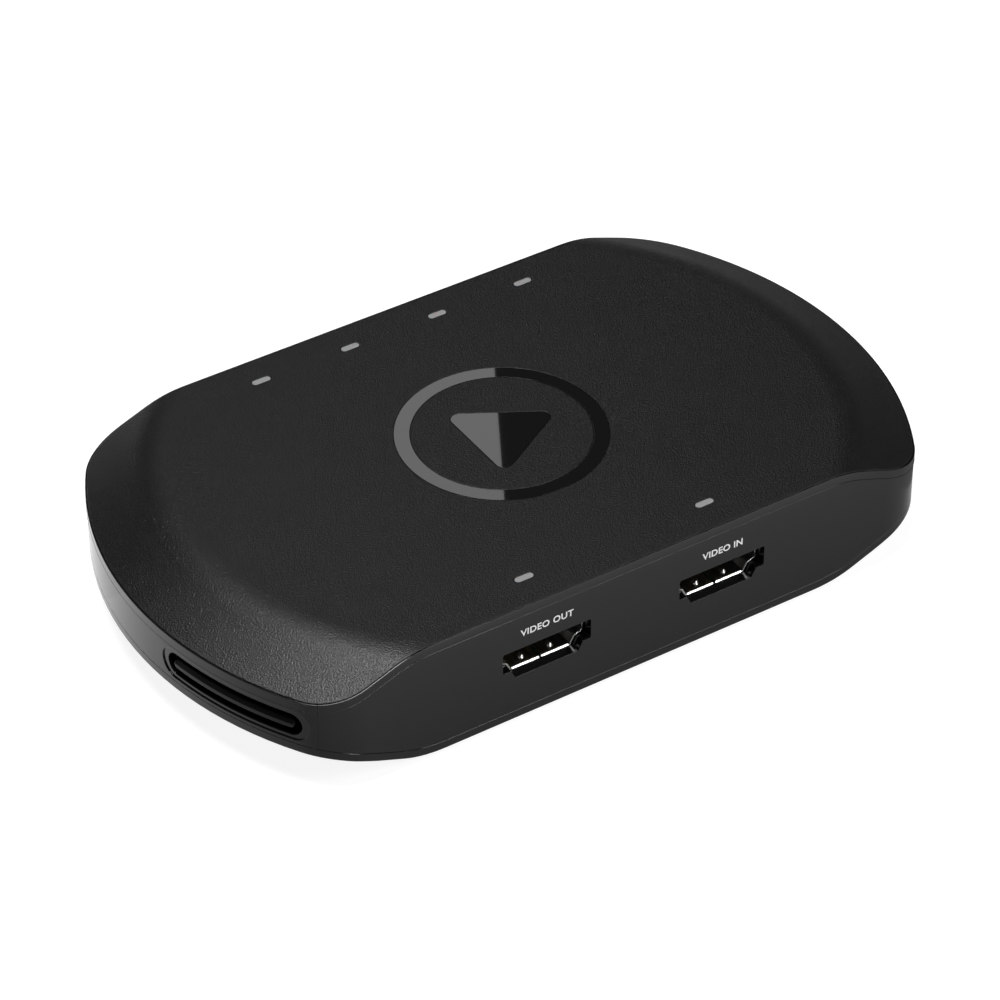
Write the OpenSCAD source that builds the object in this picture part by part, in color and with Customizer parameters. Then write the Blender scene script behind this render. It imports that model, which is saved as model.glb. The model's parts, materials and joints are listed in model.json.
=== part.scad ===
// Video capture box: a flat case with curved sloping ends, two front video sockets and four rear sockets.
// All sizes in millimetres. X runs along the front, +Y to the rear, +Z up, floor at zero.

/* [Case] */
// Length over both curved ends
case_length = 127.8; // [120:0.2:138]
// Width from the front face to the rear face
case_width = 73; // [67:0.2:80]
// Height of the case without its feet
case_height = 20.7; // [20:0.1:24]
// Plan radius of each curved end
end_radius = 60.2; // [56:0.2:63]
// Plan radius of the four upright corners
corner_radius = 10.4; // [8:0.2:12]
// Distance from the outer edge of the case in to the inner face of the side panels
wall = 1.8; // [1.6:0.1:2.2]

/* [Slopes] */
// Distance from the rim of an end in to the crease of the top
top_run = 10.1; // [8.7:0.1:11.2]
// Fall of the top beyond its crease, in degrees
top_slope = 27.3; // [24:0.1:28.5]
// Distance from the rim of an end in to the crease of the underside
base_run = 10.9; // [9.2:0.1:11.7]
// Rise of the underside beyond its crease, in degrees
base_slope = 28.9; // [25:0.1:30]
// Radius that softens both creases
crease_round = 10; // [4:0.5:14]

/* [Cover and base] */
// Thickness of the top cover
cover_thick = 1.4; // [1.2:0.1:1.7]
// Height of the smooth strip round the case below the rim of the top cover
strip_height = 1.6; // [1.5:0.1:1.8]
// Step from the edge of the base cover in to the strip
base_step = 0.1; // [0.05:0.05:0.2]
// Step from the strip in to the side walls below it
strip_step = 0.06; // [0.05:0.01:0.2]
// Shadow gap round the top cover
cover_gap = 0.12; // [0.1:0.01:0.2]
// Thickness of the base cover, seen as the lower band
base_thick = 1.6; // [1.4:0.1:1.8]
// Height of the rubber feet below the base cover
foot_height = 0.8; // [0.5:0.1:1.5]

/* [Sockets and lights] */
// Distance between the two front video sockets
video_pitch = 31.2; // [30:0.2:34]
// Distance between neighbouring rear sockets
rear_pitch = 16; // [14.6:0.2:17]
// Upper face of the circuit board above the underside of the case
board_level = 7.85; // [7.6:0.05:8.4]
// Length of one indicator lens
lens_length = 3.1; // [2.6:0.1:4]
// Width of one indicator lens
lens_width = 1.1; // [1:0.1:1.5]

/* [Vents] */
// Distance from the front face to the middle of the nearer round end of a vent
vent_margin = 6.4; // [6:0.1:10]
// Distance between the middles of the round ends of a vent
vent_span = 21.2; // [16:0.2:23]
// Height of the vent opening
vent_open = 4; // [3.4:0.1:4.2]
// Height of the bar along the middle of the vent
vent_bar = 1.3; // [1:0.1:1.5]

/* [Hidden] */
$fn = 64;
small = 24;

base_level = foot_height;
top_level = base_level + case_height;
board_top = base_level + board_level;
half_width = case_width / 2;

// Plan outline: the corner arcs touch both the straight sides and the end arcs
end_center = case_length / 2 - end_radius;
corner_y = half_width - corner_radius;
corner_x = end_center + sqrt(pow(end_radius - corner_radius, 2) - pow(corner_y, 2));
corner_angle = atan2(corner_y, corner_x - end_center);
beyond = 5;
reach = end_radius + beyond;
top_crease = end_radius - top_run;
base_crease = end_radius - base_run;

// Seats and clearances
part_gap = 0.1;
bond = 0.1;
past = 1;
seam_gap = 0.05;
base_gap = 0.05;
seam_angle = 48;
rim = 0.15;
wall_inset = base_step + strip_step;
cover_inset = base_step + rim + cover_gap;
lip_gap = 0.1;
lip_thick = 1;
lip_height = 1.8;
lip_root = 0.3;

// Board and its posts
board_thick = 1.6;
board_end = 23.9;
board_length = case_length - 2 * board_end;
board_edge = 2.2;
board_width = case_width - 2 * (wall + board_edge);
board_round = 2;
board_under = board_top - board_thick;
post_edge_x = 3.5;
post_edge_y = 4.1;
post_x = board_length / 2 - post_edge_x;
post_y = board_width / 2 - post_edge_y;
post_radius = 2.6;
board_screw_radius = 0.95;
board_hole_radius = 1.25;
board_head_radius = 1.9;
board_head_height = 1.1;
board_screw_length = 5;

// Case screws, driven from below into the top cover
boss_end = 19.5;
boss_x = case_length / 2 - boss_end;
boss_edge = 17;
boss_y = half_width - boss_edge;
boss_radius = 3.2;
boss_drop = 0.6;
boss_split = board_under - boss_drop;
screw_radius = 1;
screw_fit = 0.05;
screw_hole_radius = 1.3;
screw_head_radius = 2.3;
screw_head_height = 1.7;
screw_head_sink = 0.3;
screw_length = 12;
head_gap = 0.2;

// Cross recess of every screw, as shares of the radius and the height of its head
recess_reach = 0.62;
recess_wide = 0.3;
recess_deep = 0.6;

// Feet
foot_end = 29.9;
foot_x = case_length / 2 - foot_end;
foot_edge = 12.5;
foot_y = half_width - foot_edge;
foot_radius = 5;
foot_sink = 0.5;
foot_gap = 0.1;
foot_chamfer = 0.4;

// Emblem
emblem_radius = 16.4;
emblem_ring = 2.4;
emblem_deep = 0.6;
emblem_gap = 0.05;
arrow_reach = 7.2;
arrow_round = 1.4;

// Video socket, measured from the floor and the mouth of its shell
sheet = 0.3;
shell_lift = 0.1;
video_half = 7.5;
video_high = 5.15;
video_side = 2.03;
video_shoulder_half = 6.1;
video_shoulder = 1.43;
video_floor_half = 5.3;
video_deep = 11;
video_step_half = 6.3;
video_step = 1.5;
video_clear = 0.2;
video_round = 0.35;
video_mouth = -half_width + wall + part_gap;
lip_split = 0.35;
lip_half = 5;
lip_edge = 0.1;
spring_x = 2.5;
spring_y = 1.6;
spring_radius = 0.55;
leg_size = [sheet, 1.5, 2.5];
leg_places = [2, 7.5];
tongue_half = 5.7;
tongue_thick = 1.5;
tongue_level = 1.95;
tongue_tip = 1.6;
tongue_root = 6.5;
tongue_fit = 0.05;
contact_thick = 0.12;
video_contact = [0.4, 4.4, contact_thick];
video_contact_pitch = 1;
video_contacts_above = 10;
video_contacts_below = 9;

// Data socket
data_length = 8.94;
data_high = 3.26;
data_deep = 7.5;
data_sink = 0.4;
data_clear = 0.2;
data_tongue = [6.7, 5, 0.7];
data_tip = 0.7;
data_contact = [0.24, 3.6, 0.08];
data_contact_pitch = 0.5;
data_contact_back = 0.2;
data_contacts = 12;

// Rear sockets: the audio jacks from the left, then the data socket
rear_sockets = 4;
data_slot = rear_sockets - 1;
jack_size = [6.2, 12, 5.2];
jack_nose_radius = 2.6;
jack_nose_sink = 0.3;
jack_bore_radius = 1.8;
jack_bore_depth = 13;
jack_clear = 0.2;
jack_seat = 0.05;
jack_face = half_width - wall - part_gap;
jack_axis = board_top + jack_seat + jack_size[2] / 2;
jack_tab = [0.4, 2.2, 2.4];
jack_tab_places = [2.5, 8.5];

// Indicator lenses and light guides
rear_lens_edge = 5.4;
front_lens_edge = 5.8;
rear_lens_y = half_width - rear_lens_edge;
front_lens_y = -half_width + front_lens_edge;
front_lens_x = 16;
lens_gap = 0.1;
guide_thick = 1.4;
guide_width = 1.6;
guide_top = top_level - cover_thick - part_gap;
rear_leg_room = 3.1;
front_leg_room = 3.6;
rear_leg_y = jack_face - jack_size[1] - rear_leg_room;
front_leg_y = video_mouth + video_deep + front_leg_room;
rear_tie_step = 5.5;
front_tie_step = 5;
rear_tie_y = rear_leg_y + rear_tie_step;
front_tie_y = front_leg_y - front_tie_step;
lamp_size = [1.6, 0.9, 0.7];
lamp_base = 0.3;
lamp_end = 0.3;
lamp_gap = 0.2;

// Vents: the middle of the band between the level of the strip and the base
end_rise = (end_radius - base_crease) * tan(base_slope);
end_fall = (end_radius - top_crease) * tan(top_slope);
band_low = base_level + end_rise + base_thick;
band_high = top_level - end_fall - strip_height;
vent_level = (band_low + band_high) / 2;
vent_half_angle = asin(vent_span / 2 / end_radius);
vent_angle = asin((half_width - vent_margin) / end_radius) - vent_half_angle;
vent_length = vent_span + vent_open;
vent_rim = 0.65;
vent_rim_end = 1.2;
vent_rim_sink = 0.2;
vent_rim_deep = wall_inset + vent_rim_sink;
vent_bar_sink = 0.35;
vent_bar_lean = 35;
insert_thick = 1.4;
insert_flange = 0.8;
insert_rib = 0.9;
insert_rib_deep = 0.7;
insert_ribs = 4;

// Parts on the board
chip_draft = 0.12;
mark_size = [1.6, 0.4, 0.1];
mark_edge = 1;
chip_size = [17, 17, 1.2];
pad_size = [15, 15, 0.5];
pad_round = 0.8;
sink_size = [34, 26, 1.6];
fin_thick = 1;
fin_height = 4.4;
fins = 9;
memory_size = [13, 8, 1];
memory_edge = 13;
memory_x = board_length / 2 - memory_edge;
memory_room = 6.5;
memory_y = rear_leg_y - memory_room;
bridge_size = [9, 9, 0.9];
bridge_room = 13.5;
bridge_y = -board_width / 2 + bridge_room;
crystal_size = [3.2, 2.5, 0.8];
crystal_base = 0.3;
crystal_edge = 0.2;
crystal_x = 12;
crystal_room = 3.5;
crystal_y = rear_leg_y - crystal_room;
coil_size = [5.4, 5.2, 2.8];
coil_draft = 0.35;
coil_edge = 6;
coil_x = -board_length / 2 + coil_edge;
coil_room = 9;
coil_pitch = 8;
coils = 3;
capacitor_radius = 2.6;
capacitor_height = 5.4;
capacitor_base = 0.9;
capacitor_neck = 0.25;
capacitor_step = 0.3;
capacitor_edge = 5;
capacitor_x = board_length / 2 - capacitor_edge;
capacitor_room = 12;
capacitor_pitch = 7;
capacitor_count = 3;

case_black = [0.06, 0.06, 0.065];
cover_black = [0.09, 0.09, 0.095];
gloss_black = [0.02, 0.02, 0.02];
lens_grey = [0.6, 0.6, 0.6];
rubber_black = [0.05, 0.05, 0.05];
steel = [0.6, 0.6, 0.62];
nickel = [0.72, 0.72, 0.7];
gold = [0.83, 0.66, 0.3];
board_green = [0.05, 0.2, 0.12];
chip_black = [0.08, 0.08, 0.09];
alloy = [0.75, 0.76, 0.78];
pad_grey = [0.5, 0.55, 0.6];

// Outline of the case seen from above, drawn in by inset
module plan(inset) {
    square([2 * corner_x, case_width - 2 * inset], center = true);
    for (side = [-1, 1]) {
        intersection() {
            translate([side * end_center, 0])
                circle(r = end_radius - inset);
            polygon([
                [side * end_center, 0],
                [side * (end_center + reach), -reach * tan(corner_angle)],
                [side * (end_center + reach), reach * tan(corner_angle)]
            ]);
        }
        for (edge = [-1, 1])
            translate([side * corner_x, edge * corner_y])
                circle(r = corner_radius - inset);
    }
}

module prism(inset) {
    translate([0, 0, base_level - past])
        linear_extrude(case_height + 2 * past)
            plan(inset);
}

// Half section of a flat top that falls away beyond a rounded crease
module dome_profile(crease, slope) {
    tangent = crease_round * tan(slope / 2);
    depth = case_height + beyond;
    middle = [crease - tangent, -crease_round];
    far = 2 * crease_round;
    polygon([
        [0, 0],
        [crease - tangent, 0],
        [crease + tangent * cos(slope), -tangent * sin(slope)],
        [reach, -(reach - crease) * tan(slope)],
        [reach, -depth],
        [0, -depth]
    ]);
    intersection() {
        translate(middle)
            circle(r = crease_round);
        polygon([
            middle,
            middle + far * [0, 1],
            middle + far * [sin(slope / 2), cos(slope / 2)],
            middle + far * [sin(slope), cos(slope)]
        ]);
    }
}

// Everything under a top face at zero that slopes down about both end centres
module dome(crease, slope) {
    depth = case_height + beyond;
    for (side = [-1, 1])
        translate([side * end_center, 0, 0])
            rotate(-side * 90)
                rotate_extrude(angle = 180)
                    dome_profile(crease, slope);
    translate([-end_center - beyond, -half_width - past, -depth])
        cube([2 * (end_center + beyond), case_width + 2 * past, depth]);
}

// Space below the top of the case, lowered by drop
module under_top(drop) {
    translate([0, 0, top_level - drop])
        dome(top_crease, top_slope);
}

// Space above the underside of the case, raised by lift
module over_base(lift) {
    translate([0, 0, base_level + lift])
        mirror([0, 0, 1])
            dome(base_crease, base_slope);
}

module pill(length, width) {
    square([length - width, width], center = true);
    for (side = [-1, 1])
        translate([side * (length - width) / 2, 0])
            circle(d = width, $fn = small);
}

// Rectangle with rounded corners
module rounded(size, radius) {
    square([size[0] - 2 * radius, size[1]], center = true);
    square([size[0], size[1] - 2 * radius], center = true);
    for (side = [-1, 1], edge = [-1, 1])
        translate([side * (size[0] / 2 - radius), edge * (size[1] / 2 - radius)])
            circle(r = radius, $fn = small);
}

// Long hole through the left end in the direction of its vent, between two distances from the end centre
module vent_hole(length, height, near, away) {
    translate([-end_center, 0, vent_level])
        rotate([0, -90, vent_angle])
            translate([0, 0, near])
                linear_extrude(away - near)
                    rotate(90)
                        pill(length, height);
}

// Upright ring about the centre of the left end
module end_ring(near, away) {
    translate([-end_center, 0, base_level])
        difference() {
            cylinder(h = case_height, r = away);
            translate([0, 0, -past])
                cylinder(h = case_height + 2 * past, r = near);
        }
}

module at_corners(x, y) {
    for (side = [-1, 1], edge = [-1, 1])
        translate([side * x, edge * y, 0])
            children();
}

// Place of a rear socket along X, counted from the left
function rear_x(slot) = (slot - (rear_sockets - 1) / 2) * rear_pitch;

module at_rear_lenses() {
    for (slot = [0:rear_sockets - 1])
        translate([rear_x(slot), rear_lens_y, 0])
            children();
}

module at_front_lenses() {
    for (side = [-1, 1])
        translate([side * front_lens_x, front_lens_y, 0])
            children();
}

// Room left behind the wall for both vent inserts
module vent_room() {
    spread = 2 * (insert_flange + lip_gap);
    for (side = [0, 1])
        mirror([side, 0, 0])
            vent_hole(vent_length + spread, vent_open + spread, end_radius - 4 * wall, end_radius + past);
}

// Thin upright rim inside the wall
module inner_lip() {
    difference() {
        prism(wall + lip_gap);
        prism(wall + lip_gap + lip_thick);
        vent_room();
    }
}

// Ring of the emblem and the plain arrow inside it, drawn out by grow
module emblem_outline(grow) {
    difference() {
        circle(r = emblem_radius + grow);
        circle(r = emblem_radius - emblem_ring - grow);
    }
    corner = arrow_round + grow;
    points = [for (turn = [0:120:240]) arrow_reach * [cos(turn), sin(turn)]];
    for (point = points)
        translate(point)
            circle(r = corner, $fn = small);
    polygon([for (turn = [0:120:240], lean = [-60, 60])
        arrow_reach * [cos(turn), sin(turn)] + corner * [cos(turn + lean), sin(turn + lean)]]);
}

module top_cover() {
    color(cover_black)
    difference() {
        union() {
            difference() {
                intersection() {
                    prism(cover_inset);
                    under_top(0);
                }
                under_top(cover_thick);
            }
            difference() {
                intersection() {
                    inner_lip();
                    under_top(cover_thick - lip_root);
                }
                under_top(cover_thick + lip_height);
            }
            intersection() {
                at_corners(boss_x, boss_y)
                    translate([0, 0, boss_split + part_gap])
                        cylinder(h = case_height, r = boss_radius, $fn = small);
                under_top(cover_thick - lip_root);
            }
        }
        at_corners(boss_x, boss_y)
            translate([0, 0, boss_split])
                cylinder(h = screw_length, r = screw_radius + screw_fit, $fn = small);
        translate([0, 0, top_level - cover_thick - past]) {
            at_rear_lenses()
                linear_extrude(cover_thick + 2 * past)
                    pill(lens_length + 2 * lens_gap, lens_width + 2 * lens_gap);
            at_front_lenses()
                linear_extrude(cover_thick + 2 * past)
                    pill(lens_length + 2 * lens_gap, lens_width + 2 * lens_gap);
        }
        translate([0, 0, top_level - emblem_deep])
            linear_extrude(emblem_deep + past)
                emblem_outline(emblem_gap);
    }
}

module emblem_inlay() {
    color(gloss_black)
    translate([0, 0, top_level - emblem_deep])
        linear_extrude(emblem_deep)
            emblem_outline(0);
}

// The whole side wall with the seat for the top cover, standing proud over a strip at its upper edge,
// slit at the corner seams
module side_wall() {
    difference() {
        intersection() {
            difference() {
                prism(base_step);
                intersection() {
                    under_top(strip_height);
                    difference() {
                        prism(0);
                        prism(wall_inset);
                    }
                }
            }
            under_top(0);
            over_base(base_thick + base_gap);
        }
        prism(wall);
        difference() {
            prism(cover_inset - cover_gap);
            under_top(cover_thick);
        }
        for (side = [-1, 1], edge = [-1, 1])
            translate([side * corner_x, edge * corner_y, base_level])
                rotate(side * edge * seam_angle + (side < 0 ? 180 : 0))
                    translate([0, -seam_gap / 2, 0])
                        cube([2 * corner_radius, seam_gap, case_height]);
    }
}

// Space beyond the two seams of the left end
module left_end_space() {
    seam = case_length * [cos(seam_angle), sin(seam_angle)];
    translate([0, 0, base_level])
        linear_extrude(case_height)
            polygon([
                [-corner_x, -corner_y],
                [-corner_x - seam[0], -corner_y - seam[1]],
                [-corner_x - seam[0], corner_y + seam[1]],
                [-corner_x, corner_y]
            ]);
}

// Long side of the wall between the seams, on the front (-1) or the rear (1)
module long_side(edge) {
    difference() {
        intersection() {
            side_wall();
            translate([-case_length / 2, edge > 0 ? 0 : -case_width, 0])
                cube([case_length, case_width, 2 * case_height]);
        }
        left_end_space();
        mirror([1, 0, 0])
            left_end_space();
    }
}

// Opening of a video socket in the front panel, with rounded outer corners
module video_opening() {
    half = video_half + video_clear;
    inner = half - video_round;
    polygon([
        [-inner, video_high],
        [-half, video_high - video_round],
        [-half, video_step + video_round],
        [-inner, video_step],
        [-video_step_half, video_step],
        [-video_floor_half - video_clear, 0],
        [video_floor_half + video_clear, 0],
        [video_step_half, video_step],
        [inner, video_step],
        [half, video_step + video_round],
        [half, video_high - video_round],
        [inner, video_high]
    ]);
    for (side = [-1, 1], level = [video_step + video_round, video_high - video_round])
        translate([side * inner, level])
            circle(r = video_round, $fn = small);
}

// Section of a video socket's shell, drawn in by inset
module video_section(inset) {
    half = video_half - inset;
    shoulder_half = video_shoulder_half - inset;
    floor_half = video_floor_half - inset / 2;
    polygon([
        [-half, video_high - inset],
        [-half, video_side + inset / 2],
        [-shoulder_half, video_shoulder + inset / 2],
        [-floor_half, inset],
        [floor_half, inset],
        [shoulder_half, video_shoulder + inset / 2],
        [half, video_side + inset / 2],
        [half, video_high - inset]
    ]);
}

// Upright section pushed back along +Y
module push_back(length) {
    rotate([90, 0, 0])
        translate([0, 0, -length])
            linear_extrude(length)
                children();
}

module at_video(side) {
    translate([side * video_pitch / 2, video_mouth, board_top + shell_lift])
        children();
}

module front_panel() {
    color(case_black)
    difference() {
        long_side(-1);
        for (side = [-1, 1])
            at_video(side)
                translate([0, -2 * wall, 0])
                    push_back(4 * wall)
                        video_opening();
    }
}

module rear_panel() {
    color(case_black)
    difference() {
        long_side(1);
        for (slot = [0:data_slot - 1])
            translate([rear_x(slot), half_width + wall, jack_axis])
                rotate([90, 0, 0])
                    cylinder(h = 4 * wall, r = jack_nose_radius + jack_clear, $fn = small);
        at_data()
            translate([0, -2 * wall, 0])
                push_back(4 * wall)
                    pill(data_length + 2 * data_clear, data_high + 2 * data_clear);
    }
}

// Left end: wall with the vent opening and its sunk rim
module left_end() {
    difference() {
        intersection() {
            side_wall();
            left_end_space();
        }
        vent_hole(vent_length, vent_open, end_radius - 4 * wall, end_radius + past);
        intersection() {
            vent_hole(vent_length + 2 * vent_rim_end, vent_open + 2 * vent_rim, end_radius - 4 * wall,
                      end_radius + past);
            end_ring(end_radius - vent_rim_deep, end_radius + past);
        }
    }
}

module left_end_panel() {
    color(case_black)
    left_end();
}

module right_end_panel() {
    color(case_black)
    mirror([1, 0, 0])
        left_end();
}

// Plate behind the vent opening, with ribs that carry a bar whose upper half leans back in the opening
module vent_insert() {
    inner = end_radius - wall - lip_gap - insert_thick;
    start = end_radius - 4 * wall;
    face = end_radius - vent_bar_sink;
    half = vent_open / 2;
    difference() {
        intersection() {
            end_ring(inner, end_radius + past);
            prism(wall + lip_gap);
            vent_hole(vent_length + insert_flange, vent_open + 2 * insert_flange, start, end_radius);
        }
        vent_hole(vent_length, vent_open, start - past, end_radius + past);
    }
    intersection() {
        translate([-end_center, 0, vent_level])
            rotate_extrude()
                polygon([
                    [inner, -half],
                    [face, -half],
                    [face, 0],
                    [face - half * tan(vent_bar_lean), half],
                    [inner, half]
                ]);
        vent_hole(vent_span + vent_bar, vent_bar, start, end_radius);
    }
    intersection() {
        end_ring(inner, inner + insert_rib_deep);
        translate([-end_center, 0, vent_level])
            rotate(vent_angle)
                for (place = [0:insert_ribs - 1])
                    translate([-end_radius, vent_span * (place / (insert_ribs - 1) - 0.5), 0])
                        cube([4 * wall, insert_rib, vent_open + insert_flange], center = true);
    }
}

module left_vent_insert() {
    color(case_black)
    vent_insert();
}

module right_vent_insert() {
    color(case_black)
    mirror([1, 0, 0])
        vent_insert();
}

module base_cover() {
    color(case_black)
    difference() {
        union() {
            difference() {
                intersection() {
                    prism(0);
                    over_base(0);
                }
                over_base(base_thick);
            }
            difference() {
                intersection() {
                    inner_lip();
                    over_base(base_thick - lip_root);
                }
                over_base(base_thick + lip_height);
            }
            intersection() {
                at_corners(boss_x, boss_y)
                    translate([0, 0, base_level])
                        cylinder(h = boss_split - base_level, r = boss_radius, $fn = small);
                over_base(base_thick - lip_root);
            }
            at_corners(post_x, post_y)
                translate([0, 0, base_level + base_thick - lip_root])
                    cylinder(h = board_under - base_level - base_thick + lip_root, r = post_radius,
                             $fn = small);
        }
        at_corners(boss_x, boss_y) {
            cylinder(h = case_height, r = screw_hole_radius, $fn = small);
            cylinder(h = base_level + screw_head_sink + screw_head_height, r = screw_head_radius + head_gap,
                     $fn = small);
        }
        at_corners(post_x, post_y)
            translate([0, 0, base_level + base_thick])
                cylinder(h = case_height, r = board_screw_radius + screw_fit, $fn = small);
        at_corners(foot_x, foot_y)
            cylinder(h = base_level + foot_sink, r = foot_radius + foot_gap);
    }
}

// Feet with their lower edge taken off
module rubber_feet() {
    height = base_level + foot_sink;
    color(rubber_black)
    at_corners(foot_x, foot_y)
        rotate_extrude()
            polygon([
                [0, 0],
                [foot_radius - foot_chamfer, 0],
                [foot_radius, foot_chamfer],
                [foot_radius, height],
                [0, height]
            ]);
}

// Screw standing on the outer face of its head, with a cross recess in the head
module screw(head_radius, head_height, radius, length) {
    reach = 2 * recess_reach * head_radius;
    wide = recess_wide * head_radius;
    deep = 2 * recess_deep * head_height;
    difference() {
        union() {
            cylinder(h = head_height, r = head_radius, $fn = small);
            cylinder(h = length, r = radius, $fn = small);
        }
        cube([reach, wide, deep], center = true);
        cube([wide, reach, deep], center = true);
    }
}

module case_screws() {
    color(steel)
    at_corners(boss_x, boss_y)
        translate([0, 0, base_level + screw_head_sink])
            screw(screw_head_radius, screw_head_height, screw_radius, screw_length);
}

// One lens with the arm that leads inward and the leg that stands over its lamp
module light_arm(lens_y, leg_y) {
    arm = abs(leg_y - lens_y);
    foot = board_top + lamp_size[2] + lamp_gap;
    translate([0, lens_y, guide_top - part_gap])
        linear_extrude(top_level - guide_top + part_gap)
            pill(lens_length, lens_width);
    translate([0, (lens_y + leg_y) / 2, guide_top - guide_thick / 2])
        cube([guide_width, arm + guide_width, guide_thick], center = true);
    translate([-guide_width / 2, leg_y - guide_width / 2, foot])
        cube([guide_width, guide_width, guide_top - foot]);
}

module guide_tie(length, y) {
    translate([0, y, guide_top - guide_thick / 2])
        cube([length, guide_width, guide_thick], center = true);
}

module rear_light_guide() {
    color(lens_grey) {
        for (slot = [0:rear_sockets - 1])
            translate([rear_x(slot), 0, 0])
                light_arm(rear_lens_y, rear_leg_y);
        guide_tie(2 * rear_x(data_slot), rear_tie_y);
    }
}

module front_light_guide() {
    color(lens_grey) {
        for (side = [-1, 1])
            translate([side * front_lens_x, 0, 0])
                light_arm(front_lens_y, front_leg_y);
        guide_tie(2 * front_lens_x, front_tie_y);
    }
}

// Lamp: a base with a narrower clear block on it
module lamp() {
    on_board([lamp_size[0], lamp_size[1], lamp_base], 0, 0, 0);
    on_board([lamp_size[0] - 2 * lamp_end, lamp_size[1], lamp_size[2]], 0, 0, 0);
}

module indicator_lamps() {
    color(lens_grey) {
        for (slot = [0:rear_sockets - 1])
            translate([rear_x(slot), rear_leg_y, 0])
                lamp();
        for (side = [-1, 1])
            translate([side * front_lens_x, front_leg_y, 0])
                lamp();
    }
}

module main_board() {
    color(board_green)
    difference() {
        translate([0, 0, board_under])
            linear_extrude(board_thick)
                rounded([board_length, board_width], board_round);
        at_corners(post_x, post_y)
            cylinder(h = 2 * case_height, r = board_hole_radius, $fn = small);
    }
}

module board_screws() {
    color(steel)
    at_corners(post_x, post_y)
        translate([0, 0, board_top + board_head_height])
            mirror([0, 0, 1])
                screw(board_head_radius, board_head_height, board_screw_radius,
                      board_head_height + board_screw_length);
}

// Folded metal shell of a video socket, open at the mouth, with a bevelled lip, two springs and four legs
module video_shell() {
    over = sheet + bond;
    difference() {
        push_back(video_deep)
            video_section(0);
        translate([0, -past, 0])
            push_back(video_deep - sheet + past)
                video_section(sheet);
        rotate([90, 0, 90])
            translate([0, 0, -lip_half])
                linear_extrude(2 * lip_half)
                    polygon([[-past, lip_edge], [0, lip_edge], [over - lip_edge, over], [-past, over]]);
        translate([-lip_split / 2, -past, -past])
            cube([lip_split, video_deep - sheet, past + over]);
    }
    for (side = [-1, 1]) {
        translate([side * spring_x, spring_y, sheet])
            difference() {
                sphere(r = spring_radius, $fn = small);
                translate([-past, -past, -2 * past - sheet / 2])
                    cube(2 * past);
            }
        for (place = leg_places)
            translate([side * (video_half - sheet / 2) - sheet / 2, place, -shell_lift])
                cube(leg_size);
    }
}

module video_tongue() {
    translate([0, tongue_root, 0])
        push_back(video_deep - sheet - tongue_root - tongue_fit)
            video_section(sheet + tongue_fit);
    translate([-tongue_half, tongue_tip, tongue_level])
        cube([2 * tongue_half, tongue_root - tongue_tip + bond, tongue_thick]);
}

module contact_row(count, pitch, size, y, z) {
    for (place = [0:count - 1])
        translate([(place - (count - 1) / 2) * pitch - size[0] / 2, y, z])
            cube(size);
}

module video_contacts() {
    start = tongue_root - video_contact[1];
    contact_row(video_contacts_above, video_contact_pitch, video_contact, start, tongue_level + tongue_thick);
    contact_row(video_contacts_below, video_contact_pitch, video_contact, start,
                tongue_level - contact_thick);
}

module video_out_shell() {
    color(nickel)
    at_video(-1)
        video_shell();
}

module video_out_tongue() {
    color(chip_black)
    at_video(-1)
        video_tongue();
}

module video_out_contacts() {
    color(gold)
    at_video(-1)
        video_contacts();
}

module video_in_shell() {
    color(nickel)
    at_video(1)
        video_shell();
}

module video_in_tongue() {
    color(chip_black)
    at_video(1)
        video_tongue();
}

module video_in_contacts() {
    color(gold)
    at_video(1)
        video_contacts();
}

// Mouth of the data socket, turned to face the rear
module at_data() {
    translate([rear_x(data_slot), half_width - data_sink, board_top + shell_lift + data_high / 2])
        rotate(180)
            children();
}

module data_socket_shell() {
    color(nickel)
    at_data()
        difference() {
            push_back(data_deep)
                pill(data_length, data_high);
            translate([0, -past, 0])
                push_back(data_deep - sheet + past)
                    pill(data_length - 2 * sheet, data_high - 2 * sheet);
        }
}

module data_socket_tongue() {
    root = data_tip + data_tongue[1];
    color(chip_black)
    at_data() {
        translate([-data_tongue[0] / 2, data_tip, -data_tongue[2] / 2])
            cube(data_tongue);
        translate([0, root - bond, 0])
            push_back(data_deep - sheet - root + bond - tongue_fit)
                pill(data_length - 2 * (sheet + tongue_fit), data_high - 2 * (sheet + tongue_fit));
    }
}

module data_socket_contacts() {
    start = data_tip + data_tongue[1] - data_contact[1] - data_contact_back;
    color(gold)
    at_data() {
        contact_row(data_contacts, data_contact_pitch, data_contact, start, data_tongue[2] / 2);
        contact_row(data_contacts, data_contact_pitch, data_contact, start,
                    -data_tongue[2] / 2 - data_contact[2]);
    }
}

// Housing of an audio jack with its round nose, bored for the plug
module audio_jack(slot) {
    nose = half_width - jack_nose_sink;
    color(chip_black)
    translate([rear_x(slot), 0, jack_axis])
        difference() {
            union() {
                translate([-jack_size[0] / 2, jack_face - jack_size[1], -jack_size[2] / 2])
                    cube(jack_size);
                translate([0, nose, 0])
                    rotate([90, 0, 0])
                        cylinder(h = nose - jack_face + past, r = jack_nose_radius, $fn = small);
            }
            translate([0, nose + past, 0])
                rotate([90, 0, 0])
                    cylinder(h = jack_bore_depth + past, r = jack_bore_radius, $fn = small);
        }
}

module left_audio_jack() {
    audio_jack(0);
}

module middle_audio_jack() {
    audio_jack(1);
}

module right_audio_jack() {
    audio_jack(2);
}

// Solder tabs on both sides of each jack
module audio_jack_tabs() {
    color(nickel)
    for (slot = [0:data_slot - 1], side = [-1, 1], back = jack_tab_places)
        translate([rear_x(slot) + side * (jack_size[0] + jack_tab[0]) / 2 - jack_tab[0] / 2,
                   jack_face - back - jack_tab[1], board_top])
            cube(jack_tab);
}

// Flat block standing on the board, or on what lies on the board
module on_board(size, x, y, lift) {
    translate([x - size[0] / 2, y - size[1] / 2, board_top + lift])
        cube(size);
}

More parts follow.
